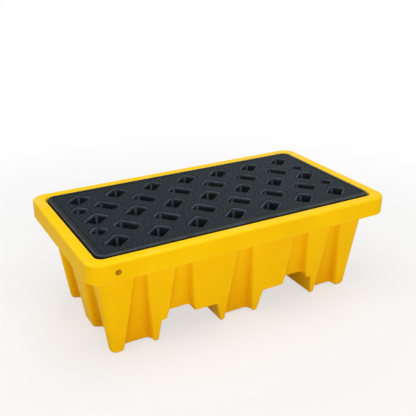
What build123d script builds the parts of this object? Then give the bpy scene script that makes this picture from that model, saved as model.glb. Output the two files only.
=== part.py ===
from build123d import *
import os

# Spill containment pallet: a moulded sump on three legs, a lift-off deck that
# sits inside its rim, and a push-in plug in the rim. Millimetres, +Z up, the
# long side along X, and the origin on the floor under the middle.

# Sump, overall
length = 1300
width = 710
sump_height = 440
wall = 7  # moulded skin

# Rim: a hollow band round the top
rim_corner_radius = 60
rim_band_height = 77
rim_top_width = 48
rim_skin = 7
rim_edge_radius = 9
rim_foot_radius = 5

# Well inside the rim, which holds the deck
well_depth = 65
well_draft = 2  # how far the well draws in on its way down
well_corner_radius = 27

# Body under the rim, drawing in towards the floor
end_overhang_top = 50
end_overhang_foot = 101
side_overhang_top = 62
side_overhang_foot = 107
body_corner_top_radius = 55
body_corner_foot_radius = 22

# Fork channels across the sump, one each side of the middle leg
middle_leg_half_foot = 85
middle_leg_half_roof = 108
fork_width_foot = 275
fork_width_roof = 240
fork_height = 95
fork_step_height = 20  # the roof's raised strip
fork_step_half = 59
fork_step_draft = 3
fork_step_offset = 38  # from the middle of the channel, away from the middle leg

# Feet: runners along both sides of each leg, with a groove between
runner_width = 13
foot_groove_height = 12

# Upright flutes pressed into the walls
flute_depth_top = 17
flute_depth_foot = 34
flute_side_slope = 0.5
leg_flute_width_top = 42
corner_post_foot = 45
fork_flute_width_top = 64
middle_flute_half_top = 30
end_post_half_top = 83
end_post_half_foot = 42
end_corner_post = 37

# Columns that stand in the sump and carry the deck
column_x = 333
column_half_x = 82
column_half_y = 55
column_corner_radius = 12
cross_arm_x = 89
cross_arm_y = 119
cross_arm_width = 45
column_flare = 0.25  # sideways growth for each millimetre down
column_drop = 3  # the columns stop this far under the ledge

# Deck
deck_thickness = 70
deck_clearance = 2.5  # to the well's foot, all round
deck_edge_radius = 7
deck_foot_radius = 4
deck_skin = 5
deck_border = 16
deck_border_height = 1.5
side_panel_depth = 1.2
side_panel_below_top = 14
end_panel_from_corner = 74
side_panel_from_corner = 36

# Drain pockets through the deck
pocket_pitch_x = 163
pocket_pitch_y = 104.8
pocket_margin_x = 100
pocket_margin_y = 90
pocket_angle = 40
pocket_long = 84
pocket_short = 58
cross_pocket_long = 90
cross_pocket_short = 54
small_pocket = 50
small_pocket_from_end = 78
pocket_corner_radius = 9
pocket_taper = 9  # how far each side draws in on its way down

# Vent plug in the front of the rim
plug_from_end = 104
plug_from_top = 40
plug_head_radius = 10.5
plug_head_thickness = 2.4
plug_head_clearance = 0.3
plug_seat_depth = 3
plug_stem_radius = 6
plug_stem_length = 9
plug_barb = 0.8

# What follows from the sizes above
through = 20  # cuts run this far past the faces they go through
band_z = sump_height - rim_band_height
ledge_z = sump_height - well_depth
column_z = ledge_z - column_drop
body_top_x = length / 2 - end_overhang_top
body_top_y = width / 2 - side_overhang_top
body_foot_x = length / 2 - end_overhang_foot
body_foot_y = width / 2 - side_overhang_foot
well_x = length - 2 * rim_top_width
well_y = width - 2 * rim_top_width
fork_outer_foot = middle_leg_half_foot + fork_width_foot
fork_outer_roof = middle_leg_half_roof + fork_width_roof
fork_middle = (middle_leg_half_roof + fork_outer_roof) / 2
fork_step_x = fork_middle + fork_step_offset
deck_length = well_x - 2 * well_draft - 2 * deck_clearance
deck_width = well_y - 2 * well_draft - 2 * deck_clearance
deck_corner_radius = well_corner_radius - well_draft - deck_clearance
deck_top_z = ledge_z + deck_thickness

os.makedirs("parts", exist_ok=True)


def between(foot, top, z):
    """A size at height z, when it runs straight from foot (floor) to top (under the rim)."""
    return foot + (top - foot) * z / band_z


def rounded_block(low_z, low_x, low_y, low_radius, high_z, high_x, high_y, high_radius, mode=Mode.ADD):
    """An upright block with rounded corners whose size changes steadily with height."""
    with BuildSketch(Plane.XY.offset(low_z)) as low:
        RectangleRounded(low_x, low_y, low_radius)
    with BuildSketch(Plane.XY.offset(high_z)) as high:
        RectangleRounded(high_x, high_y, high_radius)
    loft(sections=[low.sketch, high.sketch], mode=mode)


def flute_outline(plane, face, near, far, depth, grow):
    """A flute's section, where face is the wall's distance from the middle of the sump.

    near and far are its edges on the wall. grow widens and deepens it, for the
    inner skin, which follows the outer one.
    """
    side_grow = grow * (1 + flute_side_slope**2) ** 0.5
    depth = depth + grow
    near, far = near - side_grow, far + side_grow
    with BuildSketch(plane) as section:
        Polygon(
            (near - through * flute_side_slope, face + through),
            (far + through * flute_side_slope, face + through),
            (far - depth * flute_side_slope, face - depth),
            (near + depth * flute_side_slope, face - depth),
            align=None,
        )
    return section.sketch


def flute(foot_edges, top_edges, foot_face, top_face, turn, top_z, grow=0, mode=Mode.SUBTRACT):
    """One flute from the floor to top_z. turn is the wall's bearing: 0 for +Y, -90 for +X."""
    sections = []
    for z in (-through, top_z):
        plane = Plane(origin=(0, 0, z), x_dir=Vector(1, 0, 0).rotate(Axis.Z, turn), z_dir=(0, 0, 1))
        near = between(foot_edges[0], top_edges[0], z)
        far = between(foot_edges[1], top_edges[1], z)
        depth = between(flute_depth_foot, flute_depth_top, z)
        sections.append(flute_outline(plane, between(foot_face, top_face, z), near, far, depth, grow))
    loft(sections=sections, ruled=True, mode=mode)


def mirrored(edges):
    """The same pair of edges on the other side of the middle."""
    return (-edges[1], -edges[0])


def all_flutes(top_z, grow=0):
    """Cuts every flute: five on each long side and two on each end."""
    leg_foot = (fork_outer_foot + runner_width, body_foot_x - corner_post_foot)
    leg_middle = (leg_foot[0] + leg_foot[1]) / 2
    leg_top = (leg_middle - leg_flute_width_top / 2, leg_middle + leg_flute_width_top / 2)
    fork_top = (fork_step_x - fork_flute_width_top / 2, fork_step_x + fork_flute_width_top / 2)
    spread = (fork_step_half - fork_flute_width_top / 2) * band_z / (band_z - fork_height)
    fork_foot = (fork_top[0] - spread, fork_top[1] + spread)
    middle_foot_half = middle_leg_half_foot - runner_width
    middle_foot = (-middle_foot_half, middle_foot_half)
    middle_top = (-middle_flute_half_top, middle_flute_half_top)
    end_foot = (end_post_half_foot, body_foot_y - end_corner_post)
    end_top = (end_post_half_top, body_foot_y - end_corner_post)
    for turn in (0, 180):
        flute(middle_foot, middle_top, body_foot_y, body_top_y, turn, top_z, grow)
        for foot, top in ((leg_foot, leg_top), (fork_foot, fork_top)):
            flute(foot, top, body_foot_y, body_top_y, turn, top_z, grow)
            flute(mirrored(foot), mirrored(top), body_foot_y, body_top_y, turn, top_z, grow)
    for turn in (90, -90):
        flute(end_foot, end_top, body_foot_x, body_top_x, turn, top_z, grow)
        flute(mirrored(end_foot), mirrored(end_top), body_foot_x, body_top_x, turn, top_z, grow)


def fork_channels(grow=0, mode=Mode.SUBTRACT):
    """Both fork channels, cut right through along Y. grow is the skin over their roofs."""
    roof = fork_height + grow
    step_roof = roof + fork_step_height
    slant = (fork_outer_foot - fork_outer_roof) / fork_height
    inner_slant = (middle_leg_half_roof - middle_leg_half_foot) / fork_height
    step_half = fork_step_half + grow
    with BuildSketch(Plane.XZ) as channels:
        with BuildLine():
            Polyline(
                (middle_leg_half_foot - grow - through * inner_slant, -through),
                (middle_leg_half_foot - grow + roof * inner_slant, roof),
                (fork_step_x - step_half, roof),
                (fork_step_x - step_half + fork_step_draft, step_roof),
                (fork_step_x + step_half - fork_step_draft, step_roof),
                (fork_step_x + step_half, roof),
                (fork_outer_foot + grow - roof * slant, roof),
                (fork_outer_foot + grow + through * slant, -through),
                close=True,
            )
        make_face()
        mirror(about=Plane.YZ)
    extrude(channels.sketch, amount=width / 2 + through, both=True, mode=mode)


def foot_grooves():
    """The shallow grooves under the legs, which leave runners along their sides."""
    leg_low = fork_outer_foot + runner_width
    leg_high = body_foot_x - corner_post_foot
    with BuildSketch(Plane.XZ) as grooves:
        with Locations(((leg_low + leg_high) / 2, 0), (-(leg_low + leg_high) / 2, 0)):
            Rectangle(leg_high - leg_low, 2 * foot_groove_height)
        Rectangle(2 * (middle_leg_half_foot - runner_width), 2 * foot_groove_height)
    extrude(grooves.sketch, amount=width / 2 + through, both=True, mode=Mode.SUBTRACT)


def column_outline(z, grow):
    """The section of one diamond column at height z, grown sideways by grow."""
    spread = grow + column_flare * (column_z - z)
    with BuildSketch(Plane.XY.offset(z)) as section:
        with Locations((column_x, 0)):
            Polygon(
                (column_half_x, 0), (0, column_half_y), (-column_half_x, 0), (0, -column_half_y), align=None
            )
        fillet(section.vertices(), column_corner_radius)
        offset(amount=spread, kind=Kind.ARC)
    return section.sketch


def cross_outline(z, grow, arm_x, arm_y):
    """One arm of the middle column's cross at height z, grown sideways by grow."""
    spread = grow + column_flare * (column_z - z)
    with BuildSketch(Plane.XY.offset(z)) as section:
        Rectangle(2 * (arm_x + spread), 2 * (arm_y + spread))
    return section.sketch


def columns(low_z, high_z, grow=0, mode=Mode.ADD):
    """The columns from low_z to high_z, or with a negative grow the hollows inside them."""
    loft(sections=[column_outline(z, grow) for z in (low_z, high_z)], mode=mode)
    mirror(about=Plane.YZ, mode=mode)
    for arm_x, arm_y in ((cross_arm_x, cross_arm_width / 2), (cross_arm_width / 2, cross_arm_y)):
        loft(sections=[cross_outline(z, grow, arm_x, arm_y) for z in (low_z, high_z)], mode=mode)


def leg_walls():
    """The slanted walls of the legs beside the fork channels, seen along the channels."""
    inner_edges = (middle_leg_half_foot - wall, middle_leg_half_roof - wall)
    outer_edges = (fork_outer_foot, fork_outer_roof)
    with BuildSketch(Plane.XZ) as walls:
        for foot, roof in (inner_edges, outer_edges):
            low = foot - (roof - foot) * through / fork_height
            Polygon((low, -through), (low + wall, -through), (roof + wall, fork_height), (roof, fork_height), align=None)
        mirror(about=Plane.YZ)
    return walls.sketch


# Everything that stands inside the sump's hollow
with BuildPart() as inner_columns:
    columns(0, column_z)

# Hollows up the columns from underneath, with the legs' side walls left standing
with BuildPart() as column_hollows:
    columns(-through, column_z - wall, grow=-wall)
    extrude(leg_walls(), amount=width / 2, both=True, mode=Mode.SUBTRACT)

# The sump's hollow under the ledge
with BuildPart() as hollow:
    floor_z = foot_groove_height + wall
    rounded_block(
        floor_z,
        2 * (between(body_foot_x, body_top_x, floor_z) - wall),
        2 * (between(body_foot_y, body_top_y, floor_z) - wall),
        between(body_corner_foot_radius, body_corner_top_radius, floor_z) - wall,
        ledge_z,
        2 * (between(body_foot_x, body_top_x, ledge_z) - wall),
        2 * (between(body_foot_y, body_top_y, ledge_z) - wall),
        between(body_corner_foot_radius, body_corner_top_radius, ledge_z) - wall,
    )
    all_flutes(ledge_z, grow=wall)
    fork_channels(grow=wall)
    add(inner_columns.part, mode=Mode.SUBTRACT)

# The hollow ring inside the rim
with BuildPart() as rim_hollow:
    rounded_block(
        ledge_z,
        length - 2 * rim_skin,
        width - 2 * rim_skin,
        rim_corner_radius - rim_skin,
        sump_height - rim_skin,
        length - 2 * rim_skin,
        width - 2 * rim_skin,
        rim_corner_radius - rim_skin,
    )
    rounded_block(
        ledge_z,
        well_x - 2 * well_draft + 2 * rim_skin,
        well_y - 2 * well_draft + 2 * rim_skin,
        well_corner_radius - well_draft + rim_skin,
        sump_height,
        well_x + 2 * rim_skin,
        well_y + 2 * rim_skin,
        well_corner_radius + rim_skin,
        mode=Mode.SUBTRACT,
    )

plug_x = plug_from_end - length / 2
plug_z = sump_height - plug_from_top
plug_face = Plane(origin=(plug_x, -width / 2, plug_z), x_dir=(1, 0, 0), z_dir=(0, -1, 0))

with BuildPart() as sump:
    # rim band
    with BuildSketch(Plane.XY.offset(band_z)):
        RectangleRounded(length, width, rim_corner_radius)
    extrude(amount=rim_band_height)
    fillet(sump.faces().sort_by(Axis.Z)[0].outer_wire().edges(), rim_foot_radius)
    # body
    rounded_block(
        0,
        2 * body_foot_x,
        2 * body_foot_y,
        body_corner_foot_radius,
        band_z,
        2 * body_top_x,
        2 * body_top_y,
        body_corner_top_radius,
    )
    all_flutes(band_z)
    # well for the deck
    rounded_block(
        ledge_z,
        well_x - 2 * well_draft,
        well_y - 2 * well_draft,
        well_corner_radius - well_draft,
        sump_height,
        well_x,
        well_y,
        well_corner_radius,
        mode=Mode.SUBTRACT,
    )
    fillet(sump.faces().sort_by(Axis.Z)[-1].edges(), rim_edge_radius)
    add(rim_hollow.part, mode=Mode.SUBTRACT)
    add(hollow.part, mode=Mode.SUBTRACT)
    fork_channels()
    foot_grooves()
    add(column_hollows.part, mode=Mode.SUBTRACT)
    with Locations(plug_face):
        CounterBoreHole(
            radius=plug_stem_radius,
            counter_bore_radius=plug_head_radius + plug_head_clearance,
            counter_bore_depth=plug_seat_depth,
            depth=rim_skin + 1,
        )
sump.part.label = "sump"
export_step(sump.part, "parts/sump.step")


def pocket(long_side, short_side, grow=0):
    """One tapered pocket through the deck, or with grow the sleeve of skin round it."""
    slope = pocket_taper / deck_thickness
    sections = []
    for z in (ledge_z - through, deck_top_z + through):
        draw_in = slope * (deck_top_z - z) - grow
        with BuildSketch(Plane.XY.offset(z)) as section:
            RectangleRounded(long_side - 2 * draw_in, short_side - 2 * draw_in, pocket_corner_radius)
        sections.append(section.sketch)
    loft(sections=sections)


def place_pockets(main, across, small):
    """Cuts the drain pockets: rows of main and across pockets by turns, and small ones at the ends."""
    columns_count = int((deck_length - 2 * pocket_margin_x) // pocket_pitch_x) + 1
    rows_count = int((deck_width - 2 * pocket_margin_y) // pocket_pitch_y) + 1
    small_x = deck_length / 2 - small_pocket_from_end
    for row in range(rows_count):
        row_y = (row - (rows_count - 1) / 2) * pocket_pitch_y
        with Locations((0, row_y, 0)):
            if row % 2 == 0:
                with GridLocations(pocket_pitch_x, 0, columns_count, 1):
                    add(main.part, rotation=(0, 0, pocket_angle), mode=Mode.SUBTRACT)
            else:
                with GridLocations(pocket_pitch_x, 0, columns_count - 1, 1):
                    add(across.part, rotation=(0, 0, pocket_angle - 90), mode=Mode.SUBTRACT)
                with Locations((small_x, 0), (-small_x, 0)):
                    add(small.part, rotation=(0, 0, 45), mode=Mode.SUBTRACT)


with BuildPart() as main_pocket:
    pocket(pocket_long, pocket_short)
with BuildPart() as across_pocket:
    pocket(cross_pocket_long, cross_pocket_short)
with BuildPart() as end_pocket:
    pocket(small_pocket, small_pocket)
with BuildPart() as main_sleeve:
    pocket(pocket_long, pocket_short, grow=deck_skin)
with BuildPart() as across_sleeve:
    pocket(cross_pocket_long, cross_pocket_short, grow=deck_skin)
with BuildPart() as end_sleeve:
    pocket(small_pocket, small_pocket, grow=deck_skin)

# The sealed hollow inside the deck, between its skins
with BuildPart() as deck_hollow:
    skin = deck_skin + side_panel_depth
    with BuildSketch(Plane.XY.offset(ledge_z + deck_skin)):
        RectangleRounded(deck_length - 2 * skin, deck_width - 2 * skin, deck_corner_radius - skin)
    extrude(amount=deck_thickness - 2 * deck_skin - deck_border_height)
    place_pockets(main_sleeve, across_sleeve, end_sleeve)

with BuildPart() as deck:
    with BuildSketch(Plane.XY.offset(ledge_z)):
        RectangleRounded(deck_length, deck_width, deck_corner_radius)
    extrude(amount=deck_thickness)
    fillet(deck.faces().sort_by(Axis.Z)[0].edges(), deck_foot_radius)
    fillet(deck.faces().sort_by(Axis.Z)[-1].edges(), deck_edge_radius)
    # the textured field lies a little lower than the border
    with BuildSketch(Plane.XY.offset(deck_top_z)):
        RectangleRounded(
            deck_length - 2 * deck_border,
            deck_width - 2 * deck_border,
            deck_corner_radius - deck_border / 2,
        )
    extrude(amount=-deck_border_height, mode=Mode.SUBTRACT)
    # shallow panels round the sides
    panel_height = deck_thickness - side_panel_below_top - deck_foot_radius
    panel_z = ledge_z + deck_foot_radius + panel_height / 2
    end_panel = deck_width - 2 * end_panel_from_corner
    side_panel = deck_length - 2 * side_panel_from_corner
    with Locations((deck_length / 2, 0, panel_z), (-deck_length / 2, 0, panel_z)):
        Box(2 * side_panel_depth, end_panel, panel_height, mode=Mode.SUBTRACT)
    with Locations((0, deck_width / 2, panel_z), (0, -deck_width / 2, panel_z)):
        Box(side_panel, 2 * side_panel_depth, panel_height, mode=Mode.SUBTRACT)
    add(deck_hollow.part, mode=Mode.SUBTRACT)
    place_pockets(main_pocket, across_pocket, end_pocket)
deck.part.label = "deck"
export_step(deck.part, "parts/deck.step")

with BuildPart() as vent_plug:
    head_base = plug_face.offset(-plug_seat_depth)
    with BuildSketch(head_base):
        Circle(plug_head_radius)
    extrude(amount=plug_head_thickness)
    fillet(vent_plug.edges().filter_by(GeomType.CIRCLE).sort_by(Axis.Y)[0], plug_head_thickness / 3)
    with BuildSketch(head_base):
        Circle(plug_stem_radius)
    extrude(amount=-plug_stem_length)
    # a barb behind the rim's skin holds the plug in
    barb_start = rim_skin - plug_seat_depth
    with BuildSketch(head_base.offset(-barb_start)):
        Circle(plug_stem_radius + plug_barb)
    with BuildSketch(head_base.offset(-plug_stem_length)):
        Circle(plug_stem_radius - plug_barb)
    loft()
vent_plug.part.label = "vent_plug"
export_step(vent_plug.part, "parts/vent_plug.step")
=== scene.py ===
"""Spill containment pallet: a moulded yellow sump with a black lift-off deck inside its rim.

The sump is worked out as a field, a function that is negative inside the plastic, because every
edge of the moulding is soft and every corner runs into the next. The deck is built from profiles
carried round its outline and round each drain pocket, with flat sheets between them and studs on
the upper sheet. Shapes are in millimetres until a mesh is made; patterns, lamps and the camera
are in metres.
"""

import math
from functools import cache

import bpy
import numpy as np
from mathutils import Matrix, Vector, geometry


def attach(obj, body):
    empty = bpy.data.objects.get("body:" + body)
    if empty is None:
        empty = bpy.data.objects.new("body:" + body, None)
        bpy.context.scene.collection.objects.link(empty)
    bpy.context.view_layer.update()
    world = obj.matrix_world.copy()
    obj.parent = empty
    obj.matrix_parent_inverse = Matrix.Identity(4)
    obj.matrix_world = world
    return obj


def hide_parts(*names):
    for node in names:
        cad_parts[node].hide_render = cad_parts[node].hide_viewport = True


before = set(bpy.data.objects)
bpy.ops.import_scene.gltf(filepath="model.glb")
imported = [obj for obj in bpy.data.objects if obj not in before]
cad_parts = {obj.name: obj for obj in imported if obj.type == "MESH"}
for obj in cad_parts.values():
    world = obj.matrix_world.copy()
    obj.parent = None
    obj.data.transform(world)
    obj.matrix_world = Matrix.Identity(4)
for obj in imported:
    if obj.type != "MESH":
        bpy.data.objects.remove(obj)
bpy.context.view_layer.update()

MM = 0.001

# Sump
LENGTH, WIDTH, HEIGHT, WALL = 1300, 710, 440, 7
RIM_CORNER, RIM_BAND, RIM_TOP, RIM_EDGE = 60, 77, 48, 9
RIM_LOWER_EDGE, RIM_FILLET = 6, 6
WELL_DEPTH, WELL_DRAFT, WELL_CORNER, WELL_FILLET = 65, 2, 27, 5
BAND_Z, LEDGE_Z = HEIGHT - RIM_BAND, HEIGHT - WELL_DEPTH
BODY_TOP = (600, 293, 55)  # half length, half width and corner radius under the rim
BODY_FOOT = (549, 248, 22)
BODY_EDGE, BODY_BELOW_TOP = 6, 20  # along its flutes, and where it ends inside the rim
FORK_INNER, FORK_OUTER, FORK_HEIGHT = (85, 108), (360, 348), 95  # at the floor and at the roof
FORK_CORNER, FORK_EDGE = 7, 5
STEP_X, STEP_HALF, STEP_HEIGHT = 266, 59, 20  # the raised strip of a channel's roof
STEP_CORNER, STEP_FILLET = 6, 3
GROOVE_HEIGHT, GROOVE_CORNER, GROOVE_EDGE = 9, 3, 2.5  # between the runners under a leg
RUNNER, FOOT_EDGE = 15, 13
FLUTE_DEPTH, FLUTE_SLOPE, FLUTE_CORNER = (34, 17), 0.5, 7
LEG_FLUTE_IN, END_FLUTE_IN, END_FLUTE_NEAR = 45, 37, (42, 83)  # from the corners, and from the middle
LEG_FLUTE = (FORK_OUTER[0] + RUNNER, BODY_FOOT[0] - LEG_FLUTE_IN)  # and the groove under the leg
LEG_MIDDLE, LEG_HALF = sum(LEG_FLUTE) / 2, (LEG_FLUTE[1] - LEG_FLUTE[0]) / 2
MIDDLE_TOP, LEG_TOP, STEP_TOP = 30, 21, 32  # half widths of the flutes under the rim
STEP_SPREAD = (STEP_HALF - STEP_TOP) * BAND_Z / (BAND_Z - FORK_HEIGHT)
STEP_FLUTE = (STEP_X - STEP_TOP - STEP_SPREAD, STEP_X + STEP_TOP + STEP_SPREAD)
LONG_FLUTES = (  # each flute's two edges at the floor, and its two edges under the rim
    ((-FORK_INNER[0] + RUNNER, FORK_INNER[0] - RUNNER), (-MIDDLE_TOP, MIDDLE_TOP)),
    (LEG_FLUTE, (LEG_MIDDLE - LEG_TOP, LEG_MIDDLE + LEG_TOP)),
    (STEP_FLUTE, (STEP_X - STEP_TOP, STEP_X + STEP_TOP)),
)
END_FLUTE = tuple((near, BODY_FOOT[1] - END_FLUTE_IN) for near in END_FLUTE_NEAR)
COLUMN_X, COLUMN_HALF, COLUMN_CORNER, COLUMN_FLARE = 333, (86, 58), 13, 0.25
COLUMN_GAP, COLUMN_EDGE, COLUMN_FILLET = 2, 12, 10
COLUMN_Z = LEDGE_Z - COLUMN_GAP
CROSS_ARMS, CROSS_HALF_WIDTH, CROSS_FILLET = (90, 120), 23, 26
CROSS_CORNER, CROSS_SOFTENING = 9, 3  # the corner at the top, to which a third of the spread is added
HOLLOW_CORNER, HOLLOW_EDGE = 8, 4  # of the hollows under the columns
SIDE_WALL_FROM, SIDE_WALL_TO = 12, 10  # under the roof: the channels' walls through those hollows
BASIN_FILLET, BASIN_FLOOR_FILLET, LEDGE_EDGE, BASIN_OVER_LEDGE = 10, 8, 10, 2
PLUG_X, PLUG_Z, PLUG_SEAT_RADIUS = -546, 400, 10.9
PLUG_SEAT_DEPTH, PLUG_SEAT_CORNER, PLUG_SEAT_EDGE = 3.2, 0.5, 1.2
SEAM_Z, OUTSIDE_BELOW_SEAM = 404, 20  # the outside and the inside meet on the wall of the well

# The sump's mesh: grid lines as (start, end, step), finer where the moulding is more detailed
GRID_X = ((-658, -588, 3.5), (-588, -558, 5), (-558, -534, 2), (-534, 588, 6), (588, 658, 3.5))
GRID_Y = ((-362, -357, 2.5), (-357, -349, 1.6), (-349, -278, 4), (-278, 278, 6), (278, 362, 4))
GRID_Z = (
    (-6, 18, 3), (18, 84, 11), (84, 128, 4.4), (128, 340, 13), (340, 380, 3.6), (380, 388, 4),
    (388, 412, 2.6), (412, 426, 4.6), (426, 446, 2.5),
)
SLOPE_REACH, SURFACE_STEPS, LEAST_STEEP = 0.25, 4, 0.2
WELL_BOX, OUTSIDE_FLOOR = (620, 325), 370  # half sizes round the well, and a height under its cut
SUMP_TRIANGLES = 190000
EVEN_BEND, EVEN_STEP = 1e-5, 0.01  # how far an even point's faces may bend and its masks differ
EVEN_WEIGHT, OTHER_WEIGHT, WEIGHT_FACTOR = 1.0, 0.5, 0.001  # for thinning

# The sump's masks: a pair is where a mask starts and is full, or fades and is gone
FLUTE_STARTS, FLUTE_ENDS, FLUTE_CLEAR, FLUTE_OVER_BAND = (3, 14), (36, 42), (2, 6), 5
LEDGE_FROM = (450, 185)  # nearer the middle, the same height is the top of a column
LEDGE_NEAR, RIM_NEAR, RIM_RUB = 8, 12, 0.45
EDGE_REACH, EDGE_FALL, EDGE_LEAST = 5, 0.9, 0.3
HOLLOW_REACH, HOLLOW_RISE = 22, 5
# Edges that face up take more of the painted highlight, faces that look up are painted paler as light,
# and the basin below the rim is painted paler to make up for the deck's shade.
EDGE_UP, REST_UP, FACING_UP, INSIDE_BELOW_TOP = (0.1, 0.6), (0.7, 0.95), (0.2, 0.9), (37, 60)
NEARLY_LEVEL = 0.7

# Deck
DECK_HALF, DECK_CORNER, DECK_THICK = (597.5, 302.5), 36, 70
DECK_TOP_Z, DECK_EDGE, DECK_FOOT, DECK_UNDER = LEDGE_Z + DECK_THICK, 7, 4, 8
DECK_BORDER, DECK_FIELD_DROP, FIELD_SLOPE = 16, 1.5, 2.4
FIELD_Z = DECK_TOP_Z - DECK_FIELD_DROP
DECK_CORNER_STEPS, DECK_EDGE_STEPS, LEAST_CORNER, BORDER_RING = 12, 6, 6, 3
# Where the deck's outer lip is rubbed and gets a painted highlight.
EDGE_MASK_INSET, EDGE_MASK_HALF, EDGE_MASK_BELOW = 2.9, 4, 6
PANEL_FROM_CORNER, PANEL_DEPTH, PANEL_LOW, PANEL_HIGH = (42, 78), (0.8, 1.4), 8, 56
PANEL_RINGS, PANEL_SLOPE, PANEL_END_SLOPE = (20, 32, 44), 2, 1.2
PANEL_GROOVE, PANEL_GROOVE_WIDTH = (0.5, 3.2), 2.4  # depth on the long sides and on the ends
PANEL_GROOVE_IN, PANEL_SIDE_NEAR = 2.4, 0.5
PANEL_END_STATIONS = (-2, 0, 1.2, 2.4, 3.6, 4.8, 7)  # distances inside a panel's end
PANEL_EVEN_FROM, PANEL_EVEN_STATIONS = 16, 40
POCKET_PITCH, POCKET_TAPER, POCKET_CORNER, POCKET_LIP = (163, 104.8), 9, 12, 6
POCKET_CORNER_STEPS, POCKET_LEAST_GROW, POCKET_REACH = 10, -3, 75
POCKET_WALL, POCKET_WALL_STEPS = (12, 6), 4  # from under the field to over the underside
POCKET_FOOT, POCKET_FOOT_ANGLES = 2.5, (0, 0.6, 1.1, math.pi / 2)
MAIN_POCKET, CROSS_POCKET, SMALL_POCKET, SMALL_POCKET_X = (84, 58), (90, 54), (50, 50), 519.5
MAIN_TURN, CROSS_TURN, SMALL_TURN = 40, -50, 45  # degrees
# Down a pocket's lip: where it is rubbed and gets a painted highlight, and how smooth it is.
LIP_EDGE, LIP_SMOOTH = (0.2, 0.8, 1, 0.9, 0.5), (0, 0.5, 1, 1, 1)  # masks from the field down a lip
STUD_PITCH, STUD_SHIFT, STUD_RADIUS, STUD_HEIGHT, STUD_CLEAR = 8.6, 0.7, 2.9, 1.2, 4.5
STUD_SIZES, STUD_SIDES = (0.6, 1), 6
SAME_PLACE, SAME_DECIMALS = 1e-4, 3
RANDOM = np.random.default_rng(7)

# Colours of the plastics
YELLOW_TONES = ((0.93, 0.52, 0.0006, 1), (0.98, 0.58, 0.0008, 1))
# Painted light: a paler yellow for faces that look up, as if lit from above, and a paler yellow for the
# basin, to make up for the deck's shade.
YELLOW_UP_PAINTED_LIGHT, YELLOW_INSIDE_PAINTED_LIGHT = (1.0, 0.64, 0.002, 1), (1.0, 0.635, 0.0025, 1)
# Painted shade: a deeper yellow for hollows, flutes and the feet. Then a paler yellow for rubbed edges,
# which also stands for a painted highlight.
YELLOW_PAINTED_SHADE, YELLOW_WORN_AND_HIGHLIGHT = (0.84, 0.39, 0.0003, 1), (1.0, 0.70, 0.04, 1)
YELLOW_CHALKY = (0.98, 0.72, 0.30, 1)
BLACK_TONES = ((0.0040, 0.0062, 0.0074, 1), (0.0062, 0.0092, 0.0108, 1))
# The smooth plastic's own black, then a painted highlight on the stud crests.
BLACK_SMOOTH, BLACK_CREST_HIGHLIGHT = (0.0130, 0.0148, 0.0142, 1), (0.078, 0.118, 0.140, 1)
# Painted highlights: pale blue-grey in the pockets' corners, and a paler black on the lips.
BLACK_CORNER_HIGHLIGHT, BLACK_LIP_HIGHLIGHT = (0.085, 0.105, 0.145, 1), (0.038, 0.050, 0.062, 1)
# Rubbed edges on the deck, with a painted highlight.
BLACK_WORN_AND_HIGHLIGHT = (0.090, 0.120, 0.150, 1)
PLUG_TONES = ((0.47, 0.23, 0.003, 1), (0.31, 0.135, 0.002, 1))

# Patterns: a noise is (cycles per metre, detail, roughness), and its ends are the greys made 0 and 1
WAVES, WAVE_HEIGHT, PEEL, TONE = (9.0, 2.0), 0.0010, (260.0, 2.0), (5.0, 4.0, 0.6)
# Noise that breaks up the rubbed edges and their painted highlights.
TONE_ENDS, WEAR_AND_HIGHLIGHT, WEAR_AND_HIGHLIGHT_ENDS, WEAR_AND_HIGHLIGHT_LEAST = (0.3, 0.7), (28.0, 4.0), (0.35, 0.7), 0.25
RUB, RUB_ENDS, RUB_AMOUNT = (9.0, 5.0, 0.65), (0.56, 0.66), 0.55
FINE, FIELD_FINE, DIRT, DIRT_ENDS = (60.0, 4.0, 0.6), (70.0, 4.0), (160.0, 4.0), (0.35, 0.65)
# Painted shade: darker towards the feet and low in the flutes (heights, shares), and in hollows, eased
# in the basin; painted light: shares of the paler yellow for faces that look up and for the basin.
FOOT_PAINTED_SHADE, FLUTE_PAINTED_SHADE = (0.0, 0.3, 0.18, 0.0), (0.05, 0.30, 0.55, 0.05)  # heights, shares
HOLLOW_PAINTED_SHADE, HOLLOW_SHADE_EASED_INSIDE, UP_LIGHT_SHARE, INSIDE_LIGHT_SHARE = 0.45, -0.30, 0.8, 0.9
# Deck: the first is the smooth plastic's own colour; the others are painted highlights on stud crests,
# in pocket corners and on lips.
SMOOTH_SHARE, CREST_HIGHLIGHT_FULL, CORNER_HIGHLIGHT_SHARE, LIP_HIGHLIGHT_SHARE = 0.8, 0.7, 0.85, 0.5
YELLOW_ROUGH, YELLOW_ROUGH_NOISE, YELLOW_ROUGH_WORN = 0.38, 0.18, 0.12
BLACK_ROUGH, BLACK_ROUGH_SMOOTH, BLACK_ROUGH_NOISE = 0.66, -0.24, 0.12
PLUG_ROUGH, PLUG_ROUGH_DIRT = 0.45, 0.2

# Studio
FLOOR_LIT, FLOOR_SEEN, WHITE = (0.88, 0.88, 0.87, 1), (0.86, 0.86, 0.86, 1), (1, 1, 1, 1)
FLOOR_HALF, FLOOR_Z, FLOOR_ROUGH, FLOOR_SPECULAR = 14, -0.001, 0.9, 0.1
FLOOR_FADE = (0.8, 2.4, 0.62, 1.0)  # from one distance to the other, the share of white
SURROUND_LIGHT = 0.46
AIM = (0, 0, 0.25)
LAMPS = (  # name, place, size and power
    ("overhead", (-0.3, -0.4, 3.3), 2.4, 42),
    ("front", (-0.4, -4.0, 1.4), 2.2, 45),
    ("left", (-3.2, -0.5, 2.2), 1.8, 15),
    ("back", (2.6, 2.8, 2.0), 2.2, 24),
)
EYE, BEARING, TILT, ROLL = (-1.216, -2.1563, 1.4564), 0.511, 0.4082, 0.0026  # radians
SENSOR, FOCAL_PIXELS, PICTURE_PIXELS = 36, 649.69, 416


# ---- fields


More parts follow.
